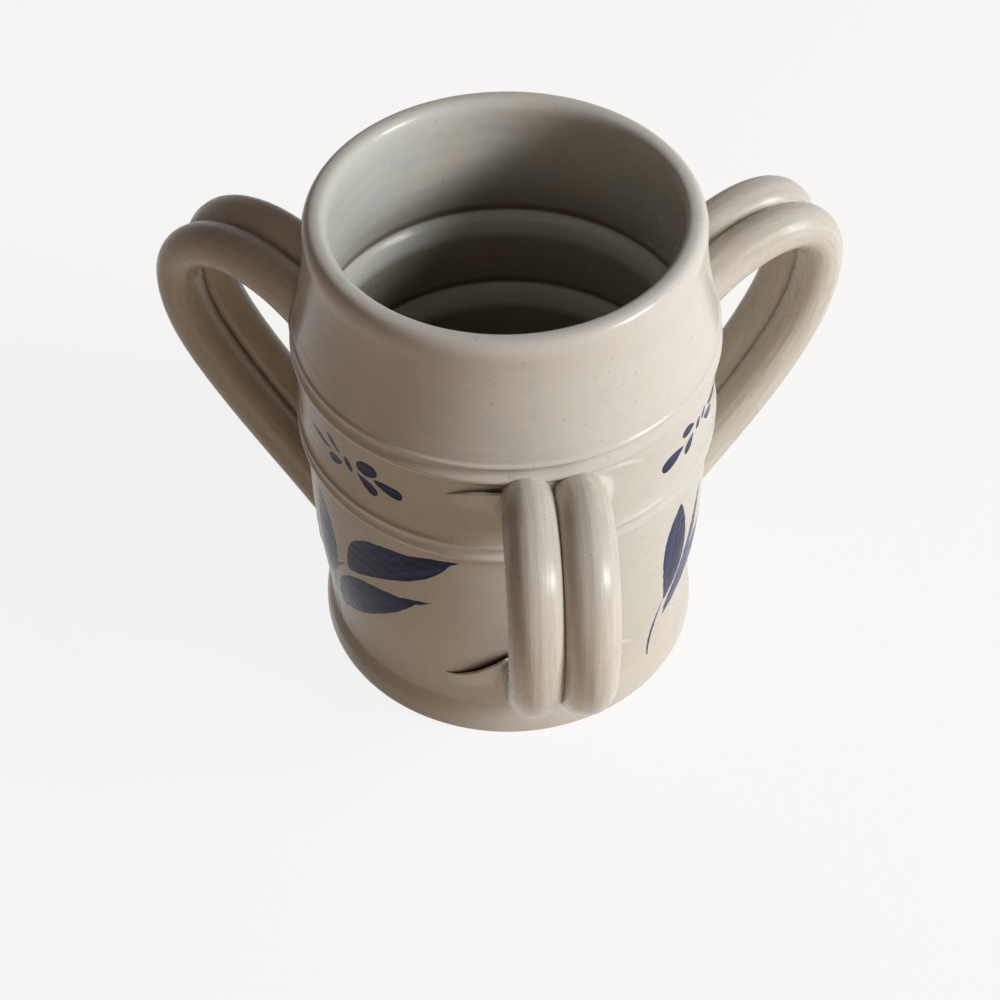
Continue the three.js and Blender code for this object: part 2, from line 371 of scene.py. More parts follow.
def brush_stroke_group() -> bpy.types.NodeTree:
    """Builds one stroke of a loaded brush on the unrolled wall.

    The stroke runs from its start along its direction. Its width follows a power curve from
    its base to its tip, and its middle line can bow to one side and curl back at the tip.

    Returns:
        A group from a place on the unrolled wall, in millimetres, to how thick the pigment is.
    """
    board, given, made = new_group(
        "brush stroke",
        {
            "Flat": "Vector", "Start": "Vector", "Direction": "Vector", "Length": "Float",
            "Half Width": "Float", "Bow": "Float", "Curl": "Float", "Base": "Float",
            "Tip": "Float", "Load": "Float", "Ragged": "Float", "Before": "Float",
        },
        {"Pigment": "Float"},
    )
    offset = board.vectors("SUBTRACT", given["Flat"], given["Start"]).outputs[0]
    ahead = board.vectors("DOT_PRODUCT", offset, given["Direction"]).outputs["Value"]
    aside = board.vectors("CROSS_PRODUCT", given["Direction"], offset).outputs[0]
    side = board.split(aside)[2]

    along = board.math("DIVIDE", ahead, given["Length"], clamp=True)
    left = board.math("SUBTRACT", 1.0, along)
    arch = board.times(along, left)
    back = board.math("MULTIPLY_ADD", along, -2.0, 1.0)
    lean = board.math("MULTIPLY_ADD", back, given["Curl"], board.times(given["Bow"], 4.0))
    middle = board.times(arch, lean)
    off = board.math("ABSOLUTE", board.math("SUBTRACT", side, middle))

    rise = board.times(board.math("POWER", along, given["Base"]), board.math("POWER", left, given["Tip"]))
    edge = board.math("MULTIPLY_ADD", rise, given["Half Width"], given["Ragged"])
    inside = board.math("SUBTRACT", edge, off)
    cover = board.ramp(inside, -0.05, 0.35)

    bristles = board.join(board.times(along, 1.3), side, given["Length"])
    streaks = board.cloud(bristles, 0.75, 2.5, 0.5)
    rim = board.ramp(inside, 1.3, 0.2, (0.0, 0.25))
    depth = board.math("MULTIPLY_ADD", board.ramp(streaks, 0.35, 0.65), 0.42, 0.58)
    depth = board.times(board.plus(depth, rim), given["Load"])
    board.put(board.math("MAXIMUM", board.times(cover, depth), given["Before"]), made["Pigment"])
    return board.tree


@dataclass(frozen=True)
class Stroke:
    """One stroke of blue, in millimetres along the wall and up from the foot.

    The start and the end lie on the unrolled wall, counted from the panel's middle.
    """

    start: Point
    end: Point
    width: float
    bow: float = 0.0
    curl: float = 0.0
    base: float = 0.5
    tip: float = 0.5
    load: float = 1.0

    def place(
        self, board: Board, tree: bpy.types.NodeTree, flat: Socket, ragged: Socket, before: object
    ) -> Socket:
        """Adds the stroke over what is painted before it.

        Args:
            board: the material's board.
            tree: the brush stroke group.
            flat: the place on the unrolled wall.
            ragged: how much the brush's edge wanders, in millimetres.
            before: the pigment so far.

        Returns:
            The pigment with this stroke.
        """
        run = Vector((self.end[0] - self.start[0], self.end[1] - self.start[1]))
        ahead = run.normalized()
        widest = self.base / (self.base + self.tip)
        peak = widest**self.base * (1.0 - widest) ** self.tip
        node = board.group(
            tree, Flat=flat, Start=(*self.start, 0.0), Direction=(*ahead, 0.0),
            Length=run.length, Half_Width=self.width / 2.0 / peak, Bow=self.bow, Curl=self.curl,
            Base=self.base, Tip=self.tip, Load=self.load, Ragged=ragged, Before=before,
        )
        return node.outputs["Pigment"]


@dataclass(frozen=True)
class Panel:
    """A sprig on the belly, or a flower in the band, painted between two handles.

    Its zone is the lowest and the highest place on the wall that it is painted in.
    """

    azimuth: float
    zone: Point
    strokes: tuple[Stroke, ...]


BELLY: Point = (6.0, 66.0)
BAND: Point = (72.5, 92.0)

PETALS = (
    Stroke((2.6, 84.7), (4.8, 81.2), 2.2, base=0.6, tip=0.5, load=1.05),
    Stroke((6.5, 84.4), (12.5, 86.2), 4.5, base=0.45, tip=0.45, load=1.12),
    Stroke((6.4, 82.4), (12.1, 78.7), 3.1, base=0.8, tip=0.35, load=1.05),
    Stroke((11.0, 83.2), (18.9, 81.6), 3.5, base=0.9, tip=0.4, load=1.0),
    Stroke((-3.4, 80.4), (1.6, 81.8), 3.1, base=0.5, tip=0.7, load=1.0),
    Stroke((-3.6, 87.4), (1.0, 84.1), 1.8, base=0.5, tip=0.6, load=1.0),
    Stroke((-11.0, 83.9), (-2.2, 82.8), 2.2, base=0.5, tip=0.8, load=0.8),
)

LEFT_SPRIG = Panel(
    azimuth=-141.0,
    zone=BELLY,
    strokes=(
        Stroke((-1.2, 42.65), (29.3, 62.8), 11.3, 3.4, 12.0, 0.72, 0.95, 0.95),
        Stroke((17.0, 59.2), (32.4, 64.5), 3.9, 0.3, 0.0, 0.3, 1.0, 0.95),
        Stroke((-9.7, 21.3), (20.3, 45.2), 11.2, 3.6, 1.9, 0.8, 0.95, 0.97),
        Stroke((11.5, 41.6), (25.0, 47.8), 2.7, 0.4, 0.0, 0.3, 1.0, 0.95),
        Stroke((-13.5, 29.9), (-12.9, 60.6), 10.6, -2.0, 1.8, 0.6, 0.8, 0.9),
        Stroke((-14.4, 9.1), (-11.3, 28.9), 1.5, 1.6, 0.0, 0.3, 0.4, 0.8),
        Stroke((-11.4, 24.0), (-2.0, 43.6), 1.1, 2.4, 0.0, 0.3, 0.4, 0.65),
    ),
)

RIGHT_SPRIG = Panel(
    azimuth=-25.4,
    zone=BELLY,
    strokes=(
        Stroke((-10.2, 28.1), (-6.8, 60.9), 10.2, -0.7, -6.8, 0.95, 0.85, 1.0),
        Stroke((-9.5, 23.5), (5.4, 57.8), 4.2, -2.2, 0.0, 0.7, 0.8, 0.62),
        Stroke((-13.8, 9.1), (-10.1, 29.6), 1.3, 1.0, 0.0, 0.3, 0.4, 0.85),
        Stroke((-9.0, 21.0), (16.8, 42.6), 9.0, 2.5, 2.0, 0.8, 1.0, 0.9),
    ),
)

RIGHT_FLOWER = Panel(
    azimuth=-25.4,
    zone=BAND,
    strokes=(
        Stroke((-16.8, 80.2), (-8.9, 82.3), 4.2, base=0.45, tip=0.9, load=1.05),
        Stroke((-8.0, 78.6), (-4.8, 83.2), 3.0, base=0.45, tip=0.8, load=1.05),
        Stroke((-9.9, 86.1), (-4.8, 85.6), 3.4, base=0.5, tip=0.7, load=1.05),
        Stroke((-2.9, 82.4), (-2.0, 85.6), 2.0, base=0.5, tip=0.6, load=1.0),
        Stroke((0.0, 83.0), (1.0, 86.2), 2.0, base=0.5, tip=0.6, load=0.95),
        Stroke((1.0, 82.5), (7.2, 79.6), 3.4, base=0.8, tip=0.4, load=1.0),
        Stroke((3.0, 84.5), (10.8, 83.4), 3.8, base=0.9, tip=0.4, load=0.95),
    ),
)

BACK_SPRIG = Panel(
    azimuth=92.4,
    zone=BELLY,
    strokes=(
        Stroke((-9.7, 27.6), (-7.7, 60.6), 10.6, -1.0, -3.0, 0.8, 0.85, 0.95),
        Stroke((-3.0, 41.6), (28.6, 63.2), 10.6, 3.2, 10.0, 0.75, 1.1, 0.92),
        Stroke((-9.0, 20.1), (23.0, 45.1), 10.8, 3.4, 2.0, 0.8, 1.1, 1.0),
        Stroke((-13.6, 9.3), (-9.4, 29.6), 1.4, 1.3, 0.0, 0.3, 0.4, 0.8),
    ),
)

PANELS = (
    LEFT_SPRIG, Panel(LEFT_SPRIG.azimuth, BAND, PETALS),
    RIGHT_SPRIG, RIGHT_FLOWER,
    BACK_SPRIG, Panel(BACK_SPRIG.azimuth, BAND, PETALS),
)


@dataclass(frozen=True)
class Brushwork:
    """The blue painted on the raw wall in one panel, seen through the glaze."""

    panel: Panel
    tree: bpy.types.NodeTree
    wall_radius: float = 48.0
    outer_from: float = 45.2
    thin: Colour = (0.03, 0.045, 0.16)
    thick: Colour = (0.004, 0.007, 0.042)

    def unrolled(self, board: Board, place: object) -> Socket:
        """Unrolls the wall about the panel's middle.

        Args:
            board: the material's board.
            place: the object's coordinates, in metres.

        Returns:
            Millimetres along the wall and millimetres up.
        """
        turned = board.add("ShaderNodeMapping", vector_type="POINT")
        turn = (0.0, 0.0, math.radians(-self.panel.azimuth))
        board.fill(turned, Vector=place, Rotation=turn)
        x, y, z = board.split(turned.outputs["Vector"])
        angle = board.math("ARCTAN2", y, x)
        return board.join(board.times(angle, self.wall_radius), board.math("DIVIDE", z, MM))

    def pigment(self, board: Board, place: object) -> Socket:
        """Paints every stroke.

        Args:
            board: the material's board.
            place: the object's coordinates, in metres.

        Returns:
            How thick the pigment is, 0 off the outer wall.
        """
        wander = board.cloud(place, 420.0, 2.0)
        ragged = board.math("MULTIPLY_ADD", wander, 0.5, -0.28)
        painted: object = 0.0
        flat = self.unrolled(board, place)
        for stroke in self.panel.strokes:
            painted = stroke.place(board, self.tree, flat, ragged, painted)
        x, y, _ = board.split(place)
        radius = board.math("SQRT", board.math("MULTIPLY_ADD", y, y, board.times(x, x)))
        return board.times(painted, board.math("GREATER_THAN", radius, self.outer_from * MM))

    def over(self, board: Board, ground: object, pigment: object) -> Socket:
        """Lays the blue over the ground's colour."""
        blue = board.blend(board.ramp(pigment, 0.4, 1.05), self.thin, self.thick)
        return board.blend(board.ramp(pigment, 0.0, 0.4, (0.0, 0.97)), ground, blue)


@dataclass(frozen=True)
class Glaze:
    """The satin glaze, as it came out on one kind of piece."""

    ground: Colour = (0.61, 0.575, 0.515)
    warm: Colour = (0.63, 0.57, 0.485)
    cool: Colour = (0.56, 0.55, 0.505)
    # Painted shade: the colour that the mesh's hollow layer darkens the glaze towards.
    painted_shade: Colour = (0.075, 0.045, 0.024)
    roughness: Point = (0.2, 0.34)
    gloss: float = 0.2
    relief: float = 0.4
    depth: float = 0.25
    streaked: bool = False
    hollow_shaded: bool = False
    panel: Panel | None = None

    def material(self, name: str, groups: "GlazeGroups", seed: float = 0.0) -> bpy.types.Material:
        """Builds the material.

        Args:
            name: the material's name.
            groups: the shared node groups.
            seed: sets one coil's streaks apart from the next one's.

        Returns:
            The material.
        """
        look = bpy.data.materials.new(name)
        look.use_nodes = True
        board = Board(look.node_tree)
        shader = look.node_tree.nodes["Principled BSDF"]
        source = board.add("ShaderNodeTexCoord")
        place = source.outputs["Object"]
        mottle = board.group(
            groups.mottle, Place=place, Ground=(*self.ground, 1.0), Warm=(*self.warm, 1.0),
            Cool=(*self.cool, 1.0),
        )
        colour, height = mottle.outputs["Colour"], mottle.outputs["Height"]
        if self.streaked:
            lines = board.group(groups.streaks, Map=source.outputs["UV"], Seed=seed).outputs["Value"]
            tone_share, raised = 0.7, 0.7
        else:
            lines = board.group(groups.lines, Place=place).outputs["Value"]
            tone_share, raised = 0.14, 0.1
        toned = board.blend(board.ramp(lines, 0.34, 0.66), (0.4, 0.375, 0.34), (0.6, 0.6, 0.6))
        colour = board.blend(tone_share, colour, toned, "SOFT_LIGHT")
        height = board.math("MULTIPLY_ADD", lines, raised, height)
        # Painted shade: the mesh's hollow layer darkens the colour towards the shade colour in creases,
        # pockets and deep inside.
        if self.hollow_shaded:
            hollow = board.add("ShaderNodeAttribute", attribute_name="hollow").outputs["Fac"]
            colour = board.blend(board.ramp(hollow, 0.0, 1.0), colour, self.painted_shade)
        if self.panel:
            brush = Brushwork(self.panel, groups.stroke)
            pigment = brush.pigment(board, place)
            colour = brush.over(board, colour, pigment)
            height = board.math("MULTIPLY_ADD", pigment, 0.08, height)
        dull = board.ramp(mottle.outputs["Dullness"], 0.1, 1.3, self.roughness)
        bump = board.add("ShaderNodeBump")
        board.fill(bump, Strength=self.relief, Distance=self.depth * MM, Height=height)
        board.fill(shader, Base_Color=colour, Roughness=dull, Normal=bump.outputs["Normal"])
        board.fill(shader, Specular_IOR_Level=self.gloss)
        return look


class GlazeGroups:
    """The node groups that the glazes share."""

    def __init__(self) -> None:
        """Builds each group once."""
        self.mottle = glaze_mottle_group()
        self.lines = throwing_lines_group()
        self.streaks = pulled_streaks_group()
        self.stroke = brush_stroke_group()


@dataclass
class Cordon:
    """A turned cordon: a crisp lower edge, a slightly hollow face and a small upper ridge.

    The inner wall has a crease behind it, a little below the cordon's edge.
    """

    height: float
    edge: float
    top: float
    crease: float
    tall: float = 4.3
    ledge: float = 1.5
    step: float = 0.4
    under: float = 0.6
    hollow: float = 0.75

    def outline(self) -> list[Point]:
        """Gives the cordon's section from its underside upwards."""
        edge, top, base = self.edge, self.top, self.height
        low, high = base - self.under, base + self.tall
        hollow = (edge + top) / 2.0 - self.hollow
        path = [(edge - 0.9, low)]
        draw_on(path, 7, (edge - 0.2, low + 0.25), (edge + 0.06, base + 0.1), (edge - 0.16, base + 0.75))
        draw_on(
            path, 8, (edge - 0.55, base + 1.25), (hollow, base + 1.9), (hollow - 0.05, base + 2.9),
            (top - 0.05, high - 0.75),
        )
        draw_on(path, 7, (top + 0.3, high - 0.45), (top + 0.42, high + 0.1), (top - 0.15, high + 0.4))
        draw_on(path, 4, (top - 0.5, high + 0.65), (top - self.step - 0.15, high + 1.6))
        return path


@dataclass
class ThrownBody:
    """The thrown mug: wall, rim, cordons, foot and floor, one piece of clay."""

    looks: list[bpy.types.Material]
    panels: tuple[Panel, ...]
    height: float = 127.0
    wall: float = 5.2
    floor: float = 7.0
    rim_radius: float = 44.1
    lip_width: float = 6.1
    lip_height: float = 5.0
    neck_base: float = 47.7
    foot_radius: float = 47.9
    foot_round: float = 1.1
    waist_radius: float = 46.2
    waist_height: float = 9.8
    belly_radius: float = 48.2
    belly_height: float = 47.0
    band_radius: float = 48.3
    floor_corner: float = 9.0
    shelf_depth: float = 2.5
    lip_fullness: float = 0.8
    deep_shade: float = 0.52
    crease_shade: float = 0.8
    around: int = 240
    upper: Cordon = field(default_factory=lambda: Cordon(height=92.8, edge=49.5, top=48.6, crease=-1.6))
    lower: Cordon = field(default_factory=lambda: Cordon(height=67.9, edge=49.7, top=49.4, crease=-0.2))

    def __post_init__(self) -> None:
        """Works out the outside once, because the handles and the lutings sit on it."""
        self.outside = self._outside()

    def _outside(self) -> list[Point]:
        """Gives the outside from the foot's edge up to where the lip turns over."""
        foot, waist, belly = self.foot_radius, self.waist_radius, self.belly_radius
        path = [(foot - self.foot_round, 0.0)]
        draw_on(path, 6, (foot, 0.0), (foot, self.foot_round))
        draw_on(path, 14, (foot, self.waist_height / 2.0), (waist, self.waist_height))
        draw_on(
            path, 40, (waist, (2.0 * self.waist_height + self.belly_height) / 3.0),
            (belly, (self.waist_height + self.belly_height) / 2.0), (belly, self.belly_height),
        )
        draw_on(path, 26, (belly, self.lower.height - self.lower.ledge))
        path += self.lower.outline()
        band_top = self.upper.height - self.upper.ledge
        draw_on(
            path, 24, (self.band_radius, (path[-1][1] + band_top) / 2.0),
            (self.band_radius + self.upper.step, band_top),
        )
        path += self.upper.outline()
        lip_start = self.height - self.lip_height
        draw_on(
            path, 30, (self.neck_base - self.upper.step, self.upper.height + 2.0 * self.upper.tall),
            (self.rim_radius, (self.upper.height + 3.0 * lip_start) / 4.0),
            (self.rim_radius, lip_start),
        )
        return path

    def _inside(self) -> list[Point]:
        """Gives the lip and the inside, down the wall and over the floor to the axis."""
        lip_start, half = self.height - self.lip_height, self.lip_width / 2.0
        middle = self.rim_radius - half
        path = []
        for step in range(1, 24):
            side, rise = math.cos(math.pi * step / 24.0), math.sin(math.pi * step / 24.0)
            path.append((
                middle + half * math.copysign(abs(side) ** self.lip_fullness, side),
                lip_start + self.lip_height * rise**self.lip_fullness,
            ))
        path.append((middle - half, lip_start))
        belly, waist = self.belly_radius - self.wall, self.waist_radius - self.wall
        leads = ((path[-1][0] + 1.0, 107.0), (belly - 0.8, 75.0))
        for cordon, lead in zip((self.upper, self.lower), leads):
            radius, high = cordon.edge - self.wall, cordon.height + cordon.crease
            shelf = radius - self.shelf_depth
            draw_on(path, 22, lead, (radius, high))
            draw_on(
                path, 14, (radius - 0.2, high - 1.1), (shelf + 0.9, high - 1.5),
                (shelf - 0.3, high - 4.2), (shelf, high - 7.0),
            )
        draw_on(path, 12, (belly, self.belly_height))
        draw_on(path, 22, (waist, self.floor + self.floor_corner))
        draw_on(path, 12, (waist, self.floor), (waist - self.floor_corner, self.floor))
        draw_on(path, 26, (0.0, self.floor))
        return path

    def wall_radius(self, height: float) -> float:
        """Gives the outside radius of the wall.

        Args:
            height: the height above the foot, in millimetres.

        Returns:
            The radius in millimetres.
        """
        for low, high in zip(self.outside[1:], self.outside[2:]):
            if high[1] >= height:
                share = (height - low[1]) / max(high[1] - low[1], 1e-6)
                return low[0] + (high[0] - low[0]) * share
        return self.rim_radius

    def _throwing_rings(self, radius: float, height: float, inner: bool) -> float:
        """Gives how far the thrower's rings draw the wall in.

        Args:
            radius: the point's radius, which matters on the floor inside.
            height: its height above the foot.
            inner: whether it lies on the inner wall.

        Returns:
            The distance in millimetres.
        """
        if inner:
            floor_share = smoothstep(4.0, 20.0, radius)
            rings = 0.045 * math.sin(height * 1.15 + 0.6) + 0.02 * math.sin(height * 2.9 + 2.0)
            return floor_share * (rings + 0.065)
        return 0.02 * math.sin(height * 2.1 + 0.7) + 0.01 * math.sin(height * 4.3 + 1.9) + 0.03

    def profile(self) -> list[Point]:
        """Gives the whole section, from the middle of the foot to the middle of the floor."""
        trims = [(radius, 0.05 * (1 + math.sin(radius * 2.6))) for radius in range(1, 43)]
        foot = [(0.0, 0.0), *trims, (43.6, 0.0)]
        inside, outside, inner = self._inside(), [], []
        for r, z in self.outside:
            near_foot, near_lip = smoothstep(1.5, 8.0, z), smoothstep(127.0, 118.0, z)
            outside.append((r - self._throwing_rings(r, z, False) * near_foot * near_lip, z))
        lip = len([p for p in inside if p[1] > self.height - self.lip_height - 1.0])
        for r, z in inside[lip:]:
            ripple = 0.12 * math.sin(r * 1.1) if z < self.floor + 0.01 and r > 0.5 else 0.0
            inner.append((max(0.0, r - self._throwing_rings(r, z, True)), z + ripple))
        return [*foot, *outside, *inside[:lip], *inner]

    def settle(self, point: Vector) -> Vector:
        """Draws a point of the wall in a little, as clay settles out of round.

        Args:
            point: the point, in metres.

        Returns:
            Where it comes to lie.
        """
        turn = math.atan2(point.y, point.x)
        soft = noise.noise(Vector((math.cos(turn), math.sin(turn), point.z * 18.0)))
        inward = 1.0 - 0.0016 * (1.0 + math.cos(2.0 * turn + 0.9)) / 2.0 - 0.0012 * (0.5 + 0.5 * soft)
        return Vector((point.x * inward, point.y * inward, point.z))

    def inner(self, point: Vector) -> bool:
        """Tells whether a point in metres lies on the inside of the mug."""
        radius, height = math.hypot(point.x, point.y) / MM, point.z / MM
        return height > self.floor - 1.0 and radius < 45.0 - 0.13 * max(0.0, height - 95.0)

    def painted_inner_shade(self, height: float) -> float:
        """Gives the painted shade inside: darker towards the bottom and in the creases above the shelves,
        and taken off the shelves below them.

        Args:
            height: the height above the foot, in millimetres.

        Returns:
            0 where no shade is painted to 1 where it is darkest.
        """
        deep, creases = self.deep_shade * smoothstep(124.0, 84.0, height), 0.0
        for cordon in (self.upper, self.lower):
            above = height - cordon.height - cordon.crease
            crease = self.crease_shade * smoothstep(5.5, 0.4, above) * smoothstep(-0.7, 0.1, above)
            creases = max(creases, crease)
            deep *= 1.0 - 0.95 * smoothstep(-7.5, -4.0, above) * smoothstep(-0.1, -0.9, above)
        return max(deep, creases)

    def look_of(self, point: Vector) -> int:
        """Chooses the look at a point.

        Args:
            point: the point, in metres.

        Returns:
            The look's number: 0 for the plain one, the last one inside, or a panel's own.
        """
        if self.inner(point):
            return len(self.panels) + 1
        turn, height = math.degrees(math.atan2(point.y, point.x)), point.z / MM

        def apart(number: int) -> float:
            """Gives the degrees between the point and a panel's middle."""
            return abs((turn - self.panels[number - 1].azimuth + 180.0) % 360.0 - 180.0)

        level = [i for i, panel in enumerate(self.panels, 1) if panel.zone[0] < height < panel.zone[1]]
        return min(level, key=apart, default=0)

    def build(self) -> None:
        """Spins the section round the axis and seats the body."""
        mesh = bmesh.new()
        hollow = mesh.verts.layers.float.new("hollow")
        verts = [mesh.verts.new((r * MM, 0.0, z * MM)) for r, z in self.profile()]
        edges = [mesh.edges.new(pair) for pair in zip(verts, verts[1:])]
        bmesh.ops.spin(
            mesh, geom=verts + edges, cent=(0, 0, 0), axis=(0, 0, 1), angle=math.tau,
            steps=self.around, use_merge=True,
        )
        bmesh.ops.remove_doubles(mesh, verts=mesh.verts, dist=1e-6)
        for vert in mesh.verts:
            # Painted shade inside the mug goes into the hollow layer.
            vert[hollow] = self.painted_inner_shade(vert.co.z / MM) if self.inner(vert.co) else 0.0
            vert.co = self.settle(vert.co)
        piece = finished_object("thrown_body_glazed", mesh)
        for polygon in piece.data.polygons:
            polygon.material_index = self.look_of(polygon.center)
        seat(piece, "thrown_body", self.looks)


@dataclass
class Handle:
    """Two pulled coils side by side, and the line that they follow."""

    name: str
    azimuth: float
    turn: float
    reach: float
    crown_drop: float
    coils: tuple[str, str]
    wings: Point = (1.0, 0.3)
    root_radius: float = 46.0
    upper_root: float = 85.0
    lower_root: float = 21.3
    upper_angle: float = 40.5
    upper_pull: float = 26.6
    lower_angle: float = 44.5
    lower_pull: float = 43.0
    crown_pull_up: float = 17.3
    crown_pull_down: float = 15.3
    stub: float = 10.0
    buried_radius: float = 44.4
    spacing: float = 11.8
    outer_half: float = 5.8
    inner_half: float = 6.5
    pressed: float = 5.89
    crease_shade: float = 0.14
    thickness: float = 10.7
    flare: float = 0.1
    flare_length: float = 14.0
    ridges: tuple[Spot, ...] = ((0.4, 5, 1.0), (0.34, 11, 2.3), (0.26, 17, 4.1))
    stations: int = 150
    sides: int = 72

    def to_world(self) -> Matrix:
        """Gives the turn and place of the handle's own frame, x outwards and z up."""
        turn = math.radians(self.azimuth)
        root = (self.root_radius * math.cos(turn), self.root_radius * math.sin(turn), 0.0)
        facing = Matrix.Rotation(math.radians(self.azimuth + self.turn), 4, "Z")
        return Matrix.Translation(root) @ facing

    def line(self) -> list[Point]:
        """Gives the coils' middle line, evenly spaced, in the handle's frame.

        Returns:
            Points as distance outwards and height, from the upper root to the lower one.
        """
        def ahead(x: float, z: float, angle: float, length: float) -> Point:
            """Steps from a point by an angle and a length."""
            turn = math.radians(angle)
            return (x + length * math.cos(turn), z + length * math.sin(turn))

        upper, lower = (0.0, self.upper_root), (0.0, self.lower_root)
        crown = (self.reach, self.upper_root - self.crown_drop)
        path = [ahead(*upper, self.upper_angle, -self.stub), upper]
        start = ahead(*upper, self.upper_angle, self.upper_pull)
        path += bezier([upper, start, ahead(*crown, 90.0, self.crown_pull_up), crown], 200)
        end = ahead(*lower, self.lower_angle, self.lower_pull)
        path += bezier([crown, ahead(*crown, -90.0, self.crown_pull_down), end, lower], 260)
        path.append(ahead(*lower, self.lower_angle, -self.stub))
        steps = [math.dist(a, b) for a, b in zip(path, path[1:])]
        total, found, walked, k = sum(steps), [], 0.0, 0
        for station in range(self.stations + 1):
            goal = total * station / self.stations
            while k < len(steps) - 1 and walked + steps[k] < goal:
                walked += steps[k]
                k += 1
            share = (goal - walked) / steps[k]
            a, b = path[k], path[k + 1]
            found.append((a[0] + (b[0] - a[0]) * share, a[1] + (b[1] - a[1]) * share))
        return found

    def section(self, mesh: bmesh.types.BMesh, inner: int, seed: float) -> list[bmesh.types.BMVert]:
        """Makes a coil's oval section, fuller on the side that meets its twin.

        Args:
            mesh: the mesh to make it in.
            inner: the side that meets the twin, -1 or 1.
            seed: sets this coil's ridges apart.

        Returns:
            The section's points in order, x across the handle and y outwards.
        """
        ring = bmesh.ops.create_circle(mesh, cap_ends=False, segments=self.sides, radius=1.0)["verts"]
        for vert in ring:
            turn = math.atan2(vert.co.y, vert.co.x)
            across, outward = math.cos(turn), math.sin(turn)
            ridges = sum(
                share * math.sin(count * turn + shift * seed) for share, count, shift in self.ridges
            )
            full = 1.0 - 0.012 * (1.0 + ridges)
            half = self.inner_half if across * inner > 0.0 else self.outer_half
            vert.co = Vector((across * full * half, outward * full * self.thickness / 2.0, 0.0))
        return ring

    def stations_of(self, sideways: float) -> list[Matrix]:
        """Gives the turn, size and place of each section along a coil.

        Args:
            sideways: how far the coil lies from the handle's middle.

        Returns:
            One transform for each section, in metres.
        """
        line, found, walked = self.line(), [], 0.0
        total = sum(math.dist(a, b) for a, b in zip(line, line[1:]))
        world = self.to_world()
        for k, (x, z) in enumerate(line):
            before, after = line[max(k - 1, 0)], line[min(k + 1, len(line) - 1)]
            run = Vector((after[0] - before[0], 0.0, after[1] - before[1])).normalized()
            outward = run.cross(Vector((0.0, 1.0, 0.0))).normalized()
            if k:
                walked += math.dist(line[k - 1], line[k])
            from_root = min(walked, total - walked) - self.stub
            flare = 1.0 + self.flare * (1.0 - smoothstep(0.0, self.flare_length, from_root))
            basis = Matrix((
                (0.0, outward.x * flare, run.x, x),
                (1.0, 0.0, 0.0, sideways),
                (0.0, outward.z * flare, run.z, z),
                (0.0, 0.0, 0.0, 1.0),
            ))
            found.append(Matrix.Scale(MM, 4) @ world @ basis)
        return found

    def coil(self, index: int, look: bpy.types.Material) -> None:
        """Draws one section along the coil's line and seats the coil.

        Args:
            index: 0 or 1, which of the two coils it is.
            look: its material.
        """
        seed, inner = self.azimuth * 0.37 + index * 2.1, 1 - 2 * index
        sideways = (index - 0.5) * self.spacing
        mesh = bmesh.new()
        unrolled = mesh.loops.layers.uv.new("UVMap")
        marks = mesh.verts.layers.float_vector.new("map")
        hollow = mesh.verts.layers.float.new("hollow")
        ring = self.section(mesh, inner, seed)
        stations = self.stations_of(sideways)
        bmesh.ops.transform(mesh, matrix=stations[0], verts=ring)
        bmesh.ops.contextual_create(mesh, geom=ring)
        edges = list(mesh.edges)
        rings = [ring]
        for before, after in zip(stations, stations[1:]):
            made = bmesh.ops.extrude_edge_only(mesh, edges=edges)["geom"]
            new_edges = [item for item in made if isinstance(item, bmesh.types.BMEdge)]
            edges = [edge for edge in new_edges if len(edge.link_faces) == 1]
            ring = [item for item in made if isinstance(item, bmesh.types.BMVert)]
            bmesh.ops.transform(mesh, matrix=after @ before.inverted(), verts=ring)
            rings.append(ring)
        bmesh.ops.contextual_create(mesh, geom=edges)
        self._mark(rings, stations, marks)
        self._press(rings, stations, inner, seed, hollow)
        self._bury(mesh, sideways)
        for face in mesh.faces:
            shares = [loop.vert[marks].y for loop in face.loops]
            wrap = max(shares) - min(shares) > 0.5
            for loop in face.loops:
                mark = loop.vert[marks]
                loop[unrolled].uv = (mark.x, mark.y + (1.0 if wrap and mark.y < 0.5 else 0.0))
        side = self.coils[index]
        piece = finished_object(f"{self.name}_pulled_coil_{side}", mesh)
        seat(piece, f"{self.name}_coil_{side}", [look])

    def _mark(self, rings: list, stations: list[Matrix], marks: object) -> None:
        """Writes on each point how far along the coil and how far round it lies.

        Args:
            rings: the points of each section.
            stations: the turn and place of each section.
            marks: the layer that holds the two shares.
        """
        for k, (ring, station) in enumerate(zip(rings, stations)):
            back = station.inverted()
            for vert in ring:
                local = back @ vert.co
                share = math.atan2(local.y, local.x) / math.tau + 0.5
                vert[marks] = Vector((k / self.stations, share, 0.0))

    def _press(self, rings: list, stations: list[Matrix], inner: int, seed: float, hollow: object) -> None:
        """Makes each section a little uneven, presses it flat against its twin, and paints shade into the
        crease between them.

        Args:
            rings: the points of each section.
            stations: the turn and place of each section.
            inner: the side that meets the twin, -1 or 1.
            seed: sets this coil apart.
            hollow: the layer that holds the painted shade in the crease between the coils.
        """
        for k, (ring, station) in enumerate(zip(rings, stations)):
            back = station.inverted()
            slow = noise.noise(Vector((k * 0.035, seed, 0.0)))
            for vert in ring:
                local = back @ vert.co
                turn = math.atan2(local.y, local.x)
                around = (k * 0.05, 6.0 * math.cos(turn), 6.0 * math.sin(turn) + seed)
                grain = noise.noise(Vector(around))
                size = 1.0 - 0.012 * (0.5 + 0.5 * slow) - 0.008 * (0.5 + 0.5 * grain)
                inward = min(local.x * size * inner, self.pressed)
                vert.co = station @ Vector((inward * inner, local.y * size, local.z))
                # Painted shade in the crease where the coil meets its twin.
                vert[hollow] = self.crease_shade * smoothstep(self.pressed - 1.6, self.pressed, inward)

